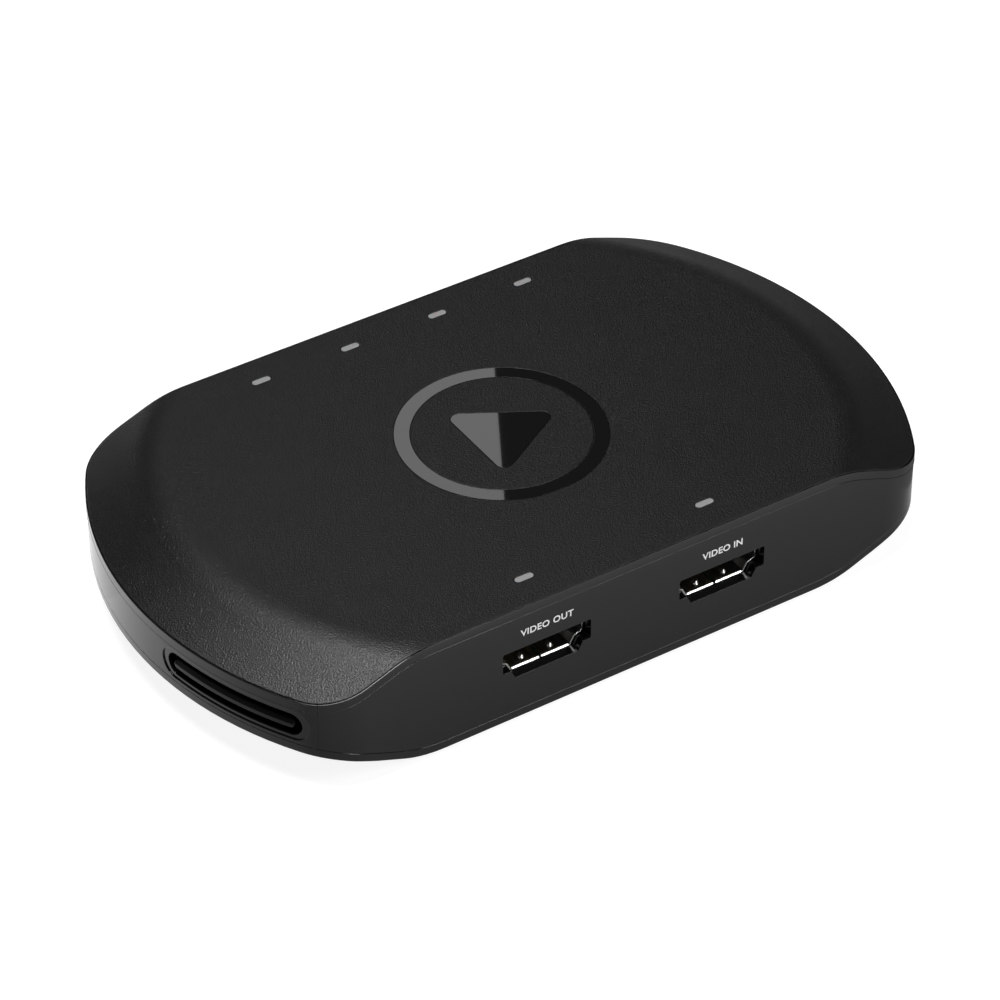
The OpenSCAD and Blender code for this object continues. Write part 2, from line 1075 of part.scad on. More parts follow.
// Section of a moulded block, widest at half its height
module block_section(width, height, draft) {
    half = width / 2;
    polygon([
        [draft - half, 0],
        [-half, height / 2],
        [draft - half, height],
        [half - draft, height],
        [half, height / 2],
        [half - draft, 0]
    ]);
}

module moulded_block(size, draft, x, y) {
    translate([x, y, board_top])
        intersection() {
            translate([0, -size[1] / 2, 0])
                push_back(size[1])
                    block_section(size[0], size[2], draft);
            rotate(90)
                translate([0, -size[0] / 2, 0])
                    push_back(size[0])
                        block_section(size[1], size[2], draft);
        }
}

// Moulded chip with a sunk mark at one corner
module chip(size, x, y) {
    difference() {
        moulded_block(size, chip_draft, x, y);
        on_board([mark_size[0], mark_size[1], past], x - size[0] / 2 + mark_edge + mark_size[0] / 2,
                 y - size[1] / 2 + mark_edge, size[2] - mark_size[2]);
    }
}

module processor_chip() {
    color(chip_black)
    chip(chip_size, 0, 0);
}

module thermal_pad() {
    color(pad_grey)
    translate([0, 0, board_top + chip_size[2]])
        linear_extrude(pad_size[2])
            rounded(pad_size, pad_round);
}

module heat_sink() {
    seat = chip_size[2] + pad_size[2];
    step = (sink_size[0] - fin_thick) / (fins - 1);
    color(alloy) {
        on_board(sink_size, 0, 0, seat);
        for (place = [0:fins - 1])
            on_board([fin_thick, sink_size[1], fin_height + bond],
                     (place - (fins - 1) / 2) * step, 0, seat + sink_size[2] - bond);
    }
}

module memory_chips() {
    color(chip_black)
    for (side = [-1, 1])
        chip(memory_size, side * memory_x, memory_y);
}

module bridge_chip() {
    color(chip_black)
    chip(bridge_size, 0, bridge_y);
}

// Crystal can: a flat base with a narrower lid
module clock_crystal() {
    rim_size = [crystal_size[0], crystal_size[1], crystal_base];
    lid_size = crystal_size - [2 * crystal_edge, 2 * crystal_edge, 0];
    color(steel) {
        on_board(rim_size, crystal_x, crystal_y, 0);
        on_board(lid_size, crystal_x, crystal_y, 0);
    }
}

module power_coils() {
    color(pad_grey)
    for (place = [0:coils - 1])
        moulded_block(coil_size, coil_draft, coil_x, memory_y - coil_room - place * coil_pitch);
}

// Capacitor cans with a rolled neck above their base and a bevelled top
module capacitors() {
    neck = capacitor_radius - capacitor_neck;
    color(alloy)
    for (place = [0:capacitor_count - 1])
        translate([capacitor_x, memory_y - capacitor_room - place * capacitor_pitch, board_top])
            rotate_extrude($fn = small)
                polygon([
                    [0, 0],
                    [capacitor_radius, 0],
                    [capacitor_radius, capacitor_base],
                    [neck, capacitor_base + capacitor_step],
                    [capacitor_radius, capacitor_base + 2 * capacitor_step],
                    [capacitor_radius, capacitor_height - capacitor_step],
                    [neck, capacitor_height],
                    [0, capacitor_height]
                ]);
}

top_cover();
emblem_inlay();
front_panel();
rear_panel();
left_end_panel();
right_end_panel();
base_cover();
rubber_feet();
case_screws();
left_vent_insert();
right_vent_insert();
rear_light_guide();
front_light_guide();
indicator_lamps();
main_board();
board_screws();
video_out_shell();
video_out_tongue();
video_out_contacts();
video_in_shell();
video_in_tongue();
video_in_contacts();
data_socket_shell();
data_socket_tongue();
data_socket_contacts();
left_audio_jack();
middle_audio_jack();
right_audio_jack();
audio_jack_tabs();
processor_chip();
thermal_pad();
heat_sink();
memory_chips();
bridge_chip();
clock_crystal();
power_coils();
capacitors();
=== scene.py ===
"""Finishes, printed words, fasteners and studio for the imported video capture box."""

import json
import math

import bmesh
import bpy
from bpy.props import FloatProperty, FloatVectorProperty, PointerProperty
from bpy.types import Operator, Panel, PropertyGroup
from mathutils import Matrix, Vector
from mathutils.geometry import convex_hull_2d


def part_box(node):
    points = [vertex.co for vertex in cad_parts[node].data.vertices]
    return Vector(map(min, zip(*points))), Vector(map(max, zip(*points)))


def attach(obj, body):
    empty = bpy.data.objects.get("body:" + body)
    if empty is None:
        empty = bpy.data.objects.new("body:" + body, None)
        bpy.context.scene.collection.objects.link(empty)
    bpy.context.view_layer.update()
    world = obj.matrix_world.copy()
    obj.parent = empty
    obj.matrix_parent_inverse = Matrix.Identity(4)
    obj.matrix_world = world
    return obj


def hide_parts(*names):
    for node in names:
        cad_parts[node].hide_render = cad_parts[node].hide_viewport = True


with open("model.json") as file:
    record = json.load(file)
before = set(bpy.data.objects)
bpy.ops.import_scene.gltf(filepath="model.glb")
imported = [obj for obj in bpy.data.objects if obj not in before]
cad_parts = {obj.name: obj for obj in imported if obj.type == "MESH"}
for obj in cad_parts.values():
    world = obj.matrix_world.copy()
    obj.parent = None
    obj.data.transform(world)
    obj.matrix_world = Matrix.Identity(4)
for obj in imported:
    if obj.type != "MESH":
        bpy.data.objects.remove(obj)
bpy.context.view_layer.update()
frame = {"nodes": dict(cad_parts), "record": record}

bl_info = {
    "name": "Video capture box",
    "version": (1, 0, 0),
    "blender": (4, 5, 0),
    "location": "View3D > Sidebar > Capture box",
    "description": "Dresses the packed video capture box with finishes, small pieces and a studio",
    "category": "Object",
}

MM = 0.001
BODY = "root"
PANELS = ("front_panel", "rear_panel", "left_end_panel", "right_end_panel")
# How near to the outline a corner on it lies, in millimetres
OUTLINE_NEAR = 0.045
# Corners that are nearer to each other than this become one corner
SAME_CORNER = 0.001 * MM
# An edge that is shorter than this counts as one without length
NO_LENGTH = 0.0001 * MM
# Steps across a rounded edge
EDGE_STEPS = 3
# Rays by which a finish rounds an edge
EDGE_SAMPLES = 6
# Angles in degrees between faces, from which the edge between them is shaded sharp
CASE_SHARP = 12
SCREW_SHARP = 35
FOOT_SHARP = 40
# A face looks up, or down, where its normal has more than this share that way
LOOKS_UP = 0.5
# Most of a cloudy pattern lies between these two values
CLOUD_LOW = 0.3
CLOUD_HIGH = 0.7
# Grain of the satin plastic
CASE_GRAIN = 0.16 * MM
CASE_GRAIN_DEPTH = 0.004 * MM
# Stretch of a pattern into lines along Y
DRAWN = (1.0, 0.08, 1.0)
# Screws: radius and height of the head, radius and length of the shank, in millimetres
CASE_SCREW = {"head": (2.3, 1.7), "shank": (1.0, 12.0)}
BOARD_SCREW = {"head": (1.9, 1.1), "shank": (0.95, 6.1)}
BOARD_SCREW_RECESS = 1.8 * MM
HEAD_SIDES = 40
SHANK_SIDES = 24
# Depth of the thread's root below the radius of the shank
THREAD_ROOT = 0.1 * MM
FOOT_RADIUS = 5.0 * MM
FOOT_SIDES = 64
# The middle of a foot ends this far under the base
FOOT_PLAY = 0.1 * MM
# Boldness and spacing of the printed capitals, as a text's settings take them
WORD_BOLD = 0.022
WORD_SPACE = 1.06


# Settings that a user would change
def length(label, words, default):
    """A length in metres that shows in the sidebar."""
    return FloatProperty(name=label, description=words, default=default, min=0.0, precision=5,
                         unit="LENGTH")


def share(label, words, default):
    """A share from nought to one that shows in the sidebar."""
    return FloatProperty(name=label, description=words, default=default, min=0.0, max=1.0,
                         subtype="FACTOR")


def tint(label, words, default):
    """A colour that shows in the sidebar."""
    return FloatVectorProperty(name=label, description=words, default=default, size=3, min=0.0, max=1.0,
                               subtype="COLOR")


def slot_colour(slot):
    """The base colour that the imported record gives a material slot."""
    for entry in frame["record"]["materials"]:
        if entry["slot"] == slot:
            return tuple(entry["base_color"])
    raise ValueError(f"the record has no material slot named {slot}")


class CaptureBoxSizes(PropertyGroup):
    """Sizes of the pieces and of the patterns in their finishes."""

    cover_grain: length("Cover grain", "Width of one grain of the textured top", 0.24 * MM)
    cover_relief: length("Cover relief", "Depth of the grain of the textured top", 0.09 * MM)
    cover_edge: length("Cover edge", "Radius that the edge of the top cover seems to have", 0.25 * MM)
    edge_round: length("Edge round", "Radius that the moulded edges seem to have", 0.12 * MM)
    word_height: length("Word height", "Height of the capitals above the video sockets", 1.17 * MM)
    word_level: length("Word level", "Foot of the printed capitals above the floor", 16.1 * MM)
    wall_step: length("Wall step", "Step from the strip at the rim in to the front wall", 0.06 * MM)
    base_step: length("Base step", "Step from the edge of the base solid in to the walls", 0.16 * MM)
    base_round: length("Base round", "Radius of the lower edge of the base cover", 0.2 * MM)
    seam_round: length("Seam round", "Radius of the upper edge of the base cover, at the seam", 0.13 * MM)
    seam_gap: length("Seam gap", "Drop of the base cover's upper edge, which opens the seam", 0.08 * MM)
    ridge_height: length("Ridge height", "Height of the ridge along the strip's lower edge", 0.14 * MM)
    ridge_proud: length("Ridge proud", "Distance that the ridge stands out from the strip", 0.047 * MM)
    ridge_end: share("Ridge at the ends", "Size of the ridge on the end panels", 0.55)
    ink_thick: length("Ink thickness", "Thickness of the printed ink", 0.02 * MM)
    recess_width: length("Screw recess", "Length of the cross recess in a case screw", 2.5 * MM)
    foot_rim: length("Foot rim", "Width of the raised rim of a rubber foot", 1.7 * MM)


class CaptureBoxColours(PropertyGroup):
    """Colours and gloss of the finishes."""

    cover: tint("Top cover", "Textured black of the top cover", (0.004, 0.004, 0.0042))
    case: tint("Case", "Satin black of the panels and the base", (0.005, 0.005, 0.0052))
    inlay: tint("Emblem", "Polished black of the emblem", slot_colour("gloss_inlay"))
    lens: tint("Lenses", "Frosted grey of the indicator lenses", (0.25, 0.25, 0.25))
    foot: tint("Feet", "Black of the rubber feet", slot_colour("foot_rubber"))
    screw: tint("Screws", "Plated steel of the screws", slot_colour("screw_steel"))
    shell: tint("Socket shells", "Nickel of the socket shells", slot_colour("nickel_shell"))
    contact: tint("Contacts", "Gold of the socket contacts", slot_colour("gold_contact"))
    socket: tint("Socket plastic", "Black of the tongues and the jacks", slot_colour("socket_plastic"))
    board: tint("Board", "Green lacquer of the circuit board", slot_colour("board_laminate"))
    chip: tint("Chips", "Black resin of the chips", slot_colour("chip_resin"))
    sink: tint("Heat sink", "Alloy of the heat sink and the capacitors", slot_colour("sink_alloy"))
    pad: tint("Thermal pad", "Soft pad under the heat sink", slot_colour("soft_pad"))
    core: tint("Coils", "Pressed core of the power coils", slot_colour("coil_core"))
    ink: tint("Ink", "White of the printed words", (0.95, 0.95, 0.95))
    cover_rough: share("Cover roughness", "Roughness of the textured top", 0.38)
    case_rough: share("Case roughness", "Roughness of the satin panels", 0.12)


def sizes():
    """The sizes that the sidebar shows."""
    return bpy.context.scene.capture_box_sizes


def colours():
    """The colours that the sidebar shows."""
    return bpy.context.scene.capture_box_colours


# Node helpers
def add_node(tree, kind, inputs=None, **settings):
    """A new node with its settings and the default values of its inputs."""
    made = tree.nodes.new(kind)
    for name, value in settings.items():
        setattr(made, name, value)
    for name, value in (inputs or {}).items():
        made.inputs[name].default_value = value
    return made


def new_finish(name):
    """A new node material, with its tree and its shader."""
    made = bpy.data.materials.new(name)
    made.use_nodes = True
    return made, made.node_tree, made.node_tree.nodes["Principled BSDF"]


def bare_finish(name):
    """A new material whose tree is still empty."""
    made = bpy.data.materials.new(name)
    made.use_nodes = True
    made.node_tree.nodes.clear()
    return made, made.node_tree


def noise(tree, width, detail=2.0, stretch=(1.0, 1.0, 1.0)):
    """Cloudy pattern fixed to the piece, with blotches of about the given width."""
    place = add_node(tree, "ShaderNodeTexCoord")
    turn = add_node(tree, "ShaderNodeMapping", {"Scale": stretch})
    cloud = add_node(tree, "ShaderNodeTexNoise",
                     {"Scale": 1.0 / width, "Detail": detail, "Roughness": 0.5})
    tree.links.new(place.outputs["Object"], turn.inputs["Vector"])
    tree.links.new(turn.outputs["Vector"], cloud.inputs["Vector"])
    return cloud.outputs["Fac"]


def spread(tree, pattern, low, high):
    """The pattern's middle stretch spread between two values."""
    made = add_node(tree, "ShaderNodeMapRange",
                    {"From Min": CLOUD_LOW, "From Max": CLOUD_HIGH, "To Min": low, "To Max": high})
    tree.links.new(pattern, made.inputs["Value"])
    return made.outputs["Result"]


def mottle(tree, pattern, colour, amount):
    """The colour, a little darker and lighter by the pattern."""
    ramp = add_node(tree, "ShaderNodeValToRGB")
    dark, light = ramp.color_ramp.elements
    dark.position = CLOUD_LOW
    light.position = CLOUD_HIGH
    dark.color = [part * (1 - amount) for part in colour] + [1]
    light.color = [part * (1 + amount) for part in colour] + [1]
    tree.links.new(pattern, ramp.inputs["Fac"])
    return ramp.outputs["Color"]


def relief(tree, pattern, depth, below=None):
    """Bump from a pattern, on top of another normal if one is given."""
    made = add_node(tree, "ShaderNodeBump", {"Distance": depth, "Strength": 1.0})
    tree.links.new(pattern, made.inputs["Height"])
    if below is not None:
        tree.links.new(below, made.inputs["Normal"])
    return made.outputs["Normal"]


def soft_edge(tree, radius):
    """Normal that rounds the edges of a moulded piece."""
    made = add_node(tree, "ShaderNodeBevel", {"Radius": radius}, samples=EDGE_SAMPLES)
    return made.outputs["Normal"]


def moulded(name, colour, rough, grain, depth, edge=0.0, gloss=0.5, uneven=0.12):
    """Moulded plastic or rubber: uneven tone and gloss, and a grain that stands up."""
    made, tree, shader = new_finish(name)
    fine = noise(tree, grain)
    broad = noise(tree, 30 * grain, detail=3.0)
    shader.inputs["Specular IOR Level"].default_value = gloss
    tree.links.new(mottle(tree, fine, colour, uneven), shader.inputs["Base Color"])
    tree.links.new(spread(tree, broad, rough * 0.95, rough * 1.05), shader.inputs["Roughness"])
    below = soft_edge(tree, edge) if edge else None
    tree.links.new(relief(tree, fine, depth, below), shader.inputs["Normal"])
    return made


def metal(name, colour, rough, grain, stretch, depth, edge=0.0):
    """Plated or drawn metal with fine lines along one direction."""
    made, tree, shader = new_finish(name)
    lines = noise(tree, grain, detail=3.0, stretch=stretch)
    shader.inputs["Metallic"].default_value = 1.0
    tree.links.new(mottle(tree, lines, colour, amount=0.08), shader.inputs["Base Color"])
    tree.links.new(spread(tree, lines, rough * 0.8, rough * 1.25), shader.inputs["Roughness"])
    below = soft_edge(tree, edge) if edge else None
    tree.links.new(relief(tree, lines, depth, below), shader.inputs["Normal"])
    return made


# Finishes
def textured_cover():
    """Spark-textured black plastic: coarse grains with a finer grain on them."""
    made, tree, shader = new_finish("textured_cover")
    coarse = noise(tree, sizes().cover_grain, detail=1.0)
    fine = noise(tree, sizes().cover_grain / 2.6, detail=1.0)
    broad = noise(tree, 6 * MM, detail=3.0)
    rough = colours().cover_rough
    shader.inputs["Specular IOR Level"].default_value = 0.5
    tree.links.new(mottle(tree, fine, colours().cover, amount=0.25), shader.inputs["Base Color"])
    tree.links.new(spread(tree, broad, rough * 0.96, rough * 1.04), shader.inputs["Roughness"])
    rounded = soft_edge(tree, sizes().cover_edge)
    grains = relief(tree, coarse, sizes().cover_relief, rounded)
    tree.links.new(relief(tree, fine, sizes().cover_relief / 4, grains), shader.inputs["Normal"])
    return made


def satin_case():
    """Smooth satin black plastic with the faintest grain."""
    return moulded("satin_case", colours().case, rough=colours().case_rough, grain=CASE_GRAIN,
                   depth=CASE_GRAIN_DEPTH, edge=sizes().edge_round)


def vent_black():
    """Dull black plastic of the vent inserts, with painted shade: its colour is darker than the case's,
    for the shade deep in the vents.
    """
    # Painted shade: the case's colour made darker for the shade that falls deep in the vents
    dark = [part * 0.6 for part in colours().case]
    return moulded("vent_black", dark, rough=0.35, grain=CASE_GRAIN, depth=CASE_GRAIN_DEPTH,
                   edge=sizes().edge_round, gloss=0.3)


def gloss_inlay():
    """Polished black plastic with faint hairlines in its gloss."""
    made, tree, shader = new_finish("gloss_inlay")
    hairs = noise(tree, 0.5 * MM, detail=4.0, stretch=(1.0, 14.0, 1.0))
    tree.links.new(mottle(tree, hairs, colours().inlay, amount=0.1), shader.inputs["Base Color"])
    tree.links.new(spread(tree, hairs, low=0.008, high=0.02), shader.inputs["Roughness"])
    tree.links.new(soft_edge(tree, sizes().edge_round / 2), shader.inputs["Normal"])
    return made


def frosted_lens():
    """Frosted clear plastic that shows grey, cloudy inside."""
    made, tree, shader = new_finish("frosted_lens")
    cloud = noise(tree, 0.5 * MM)
    frost = noise(tree, 0.1 * MM)
    shader.inputs["Subsurface Weight"].default_value = 0.25
    shader.inputs["Subsurface Scale"].default_value = 0.4 * MM
    tree.links.new(mottle(tree, cloud, colours().lens, amount=0.08), shader.inputs["Base Color"])
    tree.links.new(spread(tree, frost, low=0.38, high=0.5), shader.inputs["Roughness"])
    rounded = soft_edge(tree, sizes().edge_round)
    tree.links.new(relief(tree, frost, depth=0.004 * MM, below=rounded), shader.inputs["Normal"])
    return made


def board_laminate():
    """Lacquered circuit board with the copper tracks showing paler under the lacquer."""
    made, tree, shader = new_finish("board_laminate")
    place = add_node(tree, "ShaderNodeTexCoord")
    tracks = add_node(tree, "ShaderNodeTexBrick", {
        "Scale": 1 / (9 * MM), "Mortar Size": 0.035, "Bias": 0.0, "Brick Width": 0.9, "Row Height": 0.16})
    green = colours().board
    tracks.inputs["Color1"].default_value = [*green, 1]
    tracks.inputs["Color2"].default_value = [part * 0.8 for part in green] + [1]
    tracks.inputs["Mortar"].default_value = [part * 1.9 for part in green] + [1]
    tree.links.new(place.outputs["Object"], tracks.inputs["Vector"])
    tree.links.new(tracks.outputs["Color"], shader.inputs["Base Color"])
    weave = noise(tree, 0.4 * MM)
    tree.links.new(spread(tree, weave, low=0.28, high=0.4), shader.inputs["Roughness"])
    tree.links.new(relief(tree, tracks.outputs["Fac"], depth=0.02 * MM), shader.inputs["Normal"])
    return made


def printed_ink():
    """White ink with a slightly broken, matt surface."""
    return moulded("printed_ink", colours().ink, rough=0.5, grain=0.08 * MM, depth=0.003 * MM,
                   uneven=0.06)


def foot_rubber():
    """Matt rubber with a dusty grain."""
    return moulded("foot_rubber", colours().foot, rough=0.75, grain=0.25 * MM, depth=0.02 * MM,
                   gloss=0.3)


def socket_plastic():
    """Black plastic of the socket tongues and the jacks."""
    return moulded("socket_plastic", colours().socket, rough=0.42, grain=0.15 * MM, depth=0.006 * MM)


def chip_resin():
    """Matt moulding resin of the chips."""
    return moulded("chip_resin", colours().chip, rough=0.6, grain=0.12 * MM, depth=0.01 * MM)


def soft_pad():
    """Soft silicone pad."""
    return moulded("soft_pad", colours().pad, rough=0.7, grain=0.3 * MM, depth=0.02 * MM)


def coil_core():
    """Pressed iron powder of the coils."""
    return moulded("coil_core", colours().core, rough=0.55, grain=0.2 * MM, depth=0.015 * MM)


def screw_steel():
    """Plated steel, even in all directions."""
    return metal("screw_steel", colours().screw, rough=0.3, grain=0.12 * MM, stretch=(1.0, 1.0, 1.0),
                 depth=0.002 * MM)


def nickel_shell():
    """Drawn nickel sheet with softly folded edges."""
    return metal("nickel_shell", colours().shell, rough=0.2, grain=0.3 * MM, stretch=DRAWN,
                 depth=0.001 * MM, edge=0.2 * MM)


def gold_contact():
    """Gold plate with lines along the contact."""
    return metal("gold_contact", colours().contact, rough=0.22, grain=0.1 * MM, stretch=DRAWN,
                 depth=0.001 * MM)


def sink_alloy():
    """Extruded alloy with lines along the fins."""
    return metal("sink_alloy", colours().sink, rough=0.34, grain=0.25 * MM, stretch=DRAWN,
                 depth=0.003 * MM)


# Each is named for the material slot that it finishes
FINISHES = (textured_cover, satin_case, gloss_inlay, frosted_lens, foot_rubber, screw_steel, nickel_shell,
            gold_contact, socket_plastic, board_laminate, chip_resin, sink_alloy, soft_pad, coil_core)


def find_finish(slot):
    """The finish of a material slot, made when it is first asked for."""
    found = bpy.data.materials.get(slot)
    if found is not None:
        return found
    for maker in FINISHES:
        if maker.__name__ == slot:
            return maker()
    raise ValueError(f"no finish is named {slot}")


def finish_solids(*nodes):
    """Gives the named solids of the box the finish of their material slots."""
    slots = {entry["node"]: entry["material_slot"] for entry in frame["record"]["subparts"]}
    for name in nodes:
        frame["nodes"][name].data.materials[0] = find_finish(slots[name])


# Pieces
def add_object(name, data):
    """A new object in the scene."""
    made = bpy.data.objects.new(name, data)
    bpy.context.scene.collection.objects.link(made)
    return made


def own_piece(name, mesh, finish, replaced=()):
    """A mesh in place becomes a piece of the box: it gets its finish and rides on the case."""
    piece = add_object(name, mesh)
    mesh.materials.clear()
    mesh.materials.append(finish)
    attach(piece, BODY)
    if replaced:
        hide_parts(*replaced)
    return piece


def evaluated_mesh(holder, name):
    """The finished mesh of an object with modifiers or of a text."""
    bpy.context.view_layer.update()
    graph = bpy.context.evaluated_depsgraph_get()
    mesh = bpy.data.meshes.new_from_object(holder.evaluated_get(graph), preserve_all_data_layers=True,
                                           depsgraph=graph)
    mesh.name = name
    return mesh


def grown_mesh(name, tree, values):
    """Runs a geometry tree with the given inputs and returns its mesh."""
    seed = bpy.data.meshes.new(name + "_seed")
    holder = add_object(name + "_holder", seed)
    grower = holder.modifiers.new("grow", "NODES")
    grower.node_group = tree
    for item in tree.interface.items_tree:
        if item.item_type == "SOCKET" and item.in_out == "INPUT":
            grower[item.identifier] = values[item.name]
    mesh = evaluated_mesh(holder, name)
    holder.modifiers.remove(grower)
    bpy.data.objects.remove(holder)
    bpy.data.meshes.remove(seed)
    if not mesh.polygons:
        raise RuntimeError(f"the tree for {name} made no faces")
    return mesh


class GrowTree:
    """A geometry tree under construction, with named inputs for its sizes."""

    def __init__(self, name, numbers):
        self.tree = bpy.data.node_groups.new(name, "GeometryNodeTree")
        sockets = self.tree.interface
        sockets.new_socket(name="Geometry", in_out="OUTPUT", socket_type="NodeSocketGeometry")
        for label in numbers:
            sockets.new_socket(name=label, in_out="INPUT", socket_type="NodeSocketFloat")
        sockets.new_socket(name="Finish", in_out="INPUT", socket_type="NodeSocketMaterial")
        self.given = self.tree.nodes.new("NodeGroupInput")
        self.result = self.tree.nodes.new("NodeGroupOutput")

    def value(self, label):
        """A named input of the tree."""
        return self.given.outputs[label]

    def node(self, kind, inputs=None, **settings):
        """A node whose inputs are numbers or other nodes' outputs."""
        made = self.tree.nodes.new(kind)
        for name, value in settings.items():
            setattr(made, name, value)
        for name, value in (inputs or {}).items():
            several = value if isinstance(value, list) else [value]
            for one in several:
                if isinstance(one, bpy.types.NodeSocket):
                    self.tree.links.new(one, made.inputs[name])
                else:
                    made.inputs[name].default_value = one
        return made.outputs[0]

    def math(self, operation, first, second):
        """One step of arithmetic on two numbers or outputs."""
        made = self.tree.nodes.new("ShaderNodeMath")
        made.operation = operation
        for socket, value in zip(made.inputs, (first, second)):
            if isinstance(value, bpy.types.NodeSocket):
                self.tree.links.new(value, socket)
            else:
                socket.default_value = value
        return made.outputs[0]

    def vector(self, x, y, z):
        """Three numbers or outputs as one vector."""
        return self.node("ShaderNodeCombineXYZ", {"X": x, "Y": y, "Z": z})

    def lifted(self, geometry, z):
        """The geometry, moved up."""
        shift = self.vector(0.0, 0.0, z)
        return self.node("GeometryNodeTransform", {"Geometry": geometry, "Translation": shift})

    def turned(self, geometry, x=0.0, z=0.0):
        """The geometry, turned about X and Z."""
        turn = self.vector(x, 0.0, z)
        return self.node("GeometryNodeTransform", {"Geometry": geometry, "Rotation": turn})

    def drum(self, radius, low, high, sides):
        """Upright cylinder between two levels."""
        depth = self.math("SUBTRACT", high, low)
        middle = self.math("MULTIPLY", self.math("ADD", high, low), 0.5)
        made = self.node("GeometryNodeMeshCylinder",
                         {"Vertices": sides, "Radius": radius, "Depth": depth})
        return self.lifted(made, z=middle)

    def joined(self, *parts):
        """The parts side by side in one mesh."""
        return self.node("GeometryNodeJoinGeometry", {"Geometry": list(parts)})

    def united(self, *parts):
        """The parts as one closed solid."""
        return self.node("GeometryNodeMeshBoolean", {"Mesh 2": list(parts)},
                         operation="UNION", solver="EXACT")

    def cut(self, body, *tools):
        """The body without what the tools cover."""
        return self.node("GeometryNodeMeshBoolean", {"Mesh 1": body, "Mesh 2": list(tools)},
                         operation="DIFFERENCE", solver="EXACT")

    def at_corners(self, geometry, half_x, half_y):
        """The geometry at the four corners of a rectangle."""
        grid = self.node("GeometryNodeMeshGrid", {
            "Size X": self.math("MULTIPLY", half_x, 2.0), "Size Y": self.math("MULTIPLY", half_y, 2.0),
            "Vertices X": 2, "Vertices Y": 2})
        return self.node("GeometryNodeInstanceOnPoints", {"Points": grid, "Instance": geometry})

    def close(self, geometry):
        """Ends the tree: real copies and the finish."""
        real = self.node("GeometryNodeRealizeInstances", {"Geometry": geometry})
        painted = self.node("GeometryNodeSetMaterial",
                            {"Geometry": real, "Material": self.value("Finish")})
        self.tree.links.new(painted, self.result.inputs["Geometry"])
        return self.tree


def screw_tree():
    """Four screws with a chamfered head, a cross recess and a thread, heads down."""
    grow = GrowTree("screw_set", [
        "Head Radius", "Head Height", "Head Edge", "Shank Radius", "Length",
        "Recess Length", "Recess Width", "Recess Depth", "Thread Rise", "Thread Height",
        "Half X", "Half Y", "Level", "Turn"])
    head_top = grow.value("Head Height")
    edge = grow.value("Head Edge")
    radius = grow.value("Head Radius")
    rim = grow.node("GeometryNodeMeshCone", {
        "Vertices": HEAD_SIDES, "Radius Bottom": grow.math("SUBTRACT", radius, edge),
        "Radius Top": radius, "Depth": edge})
    body = grow.drum(radius, edge, head_top, HEAD_SIDES)
    inside_head = grow.math("MULTIPLY", head_top, 0.5)
    shank = grow.drum(grow.value("Shank Radius"), inside_head, grow.value("Length"), SHANK_SIDES)
    deep = grow.math("MULTIPLY", grow.value("Recess Depth"), 2.0)
    slot = grow.node("GeometryNodeMeshCube", {
        "Size": grow.vector(grow.value("Recess Length"), grow.value("Recess Width"), deep)})
    cross = [slot, grow.turned(slot, z=math.pi / 2)]
    solid = grow.cut(grow.united(rim, body, shank), *cross)
    climb = grow.math("SUBTRACT", grow.value("Length"), head_top)
    helix = grow.node("GeometryNodeCurveSpiral", {
        "Resolution": 20, "Rotations": grow.math("DIVIDE", climb, grow.value("Thread Rise")),
        "Start Radius": grow.value("Shank Radius"), "End Radius": grow.value("Shank Radius"),
        "Height": climb})
    ridge = grow.node("GeometryNodeCurvePrimitiveCircle",
                      {"Resolution": 3, "Radius": grow.value("Thread Height")})
    thread = grow.node("GeometryNodeCurveToMesh",
                       {"Curve": helix, "Profile Curve": ridge, "Fill Caps": True})
    screw = grow.turned(grow.joined(solid, grow.lifted(thread, z=head_top)), x=grow.value("Turn"))
    placed = grow.lifted(screw, z=grow.value("Level"))
    return grow.close(grow.at_corners(placed, grow.value("Half X"), grow.value("Half Y")))


def foot_tree():
    """Four round rubber feet with a rounded rim about a sunk middle."""
    grow = GrowTree("foot_set", [
        "Radius", "Height", "Rim Width", "Rim Round", "Sink", "Half X", "Half Y"])
    radius = grow.value("Radius")
    half_rim = grow.math("MULTIPLY", grow.value("Rim Width"), 0.5)
    track = grow.math("SUBTRACT", radius, half_rim)
    path = grow.node("GeometryNodeCurvePrimitiveCircle", {"Resolution": FOOT_SIDES, "Radius": track})
    section = grow.node("GeometryNodeCurvePrimitiveQuadrilateral", {
        "Width": grow.value("Rim Width"), "Height": grow.value("Height")})
    softened = grow.node("GeometryNodeFilletCurve",
                         {"Curve": section, "Count": 4, "Radius": grow.value("Rim Round")}, mode="POLY")
    rim = grow.node("GeometryNodeCurveToMesh", {"Curve": path, "Profile Curve": softened})
    raised = grow.lifted(rim, z=grow.math("MULTIPLY", grow.value("Height"), 0.5))
    seat = grow.math("SUBTRACT", grow.value("Height"), FOOT_PLAY)
    middle = grow.drum(track, grow.value("Sink"), seat, FOOT_SIDES)
    foot = grow.united(raised, middle)
    return grow.close(grow.at_corners(foot, grow.value("Half X"), grow.value("Half Y")))


def solid_copy(node):
    """A copy of a solid's mesh to work on, with its loose triangles merged."""
    work = bmesh.new()
    work.from_mesh(frame["nodes"][node].data)
    bmesh.ops.remove_doubles(work, verts=work.verts, dist=SAME_CORNER)
    return work


def outline_sides(*works):
    """Sides of the outline of meshes seen from above, in millimetres.

    Each is its start, its way along, its length and its way outwards.
    """
    spots = [corner.co.xy / MM for work in works for corner in work.verts]
    ring = [spots[index] for index in convex_hull_2d(spots)]
    sides = []
    for start, stop in zip(ring, ring[1:] + ring[:1]):
        reach = (stop - start).length
        if reach > OUTLINE_NEAR:
            along = (stop - start) / reach
            outwards = Vector((along.y, -along.x))
            if outwards.dot(start) < 0:
                outwards.negate()
            sides.append((start, along, reach, outwards))
    return sides


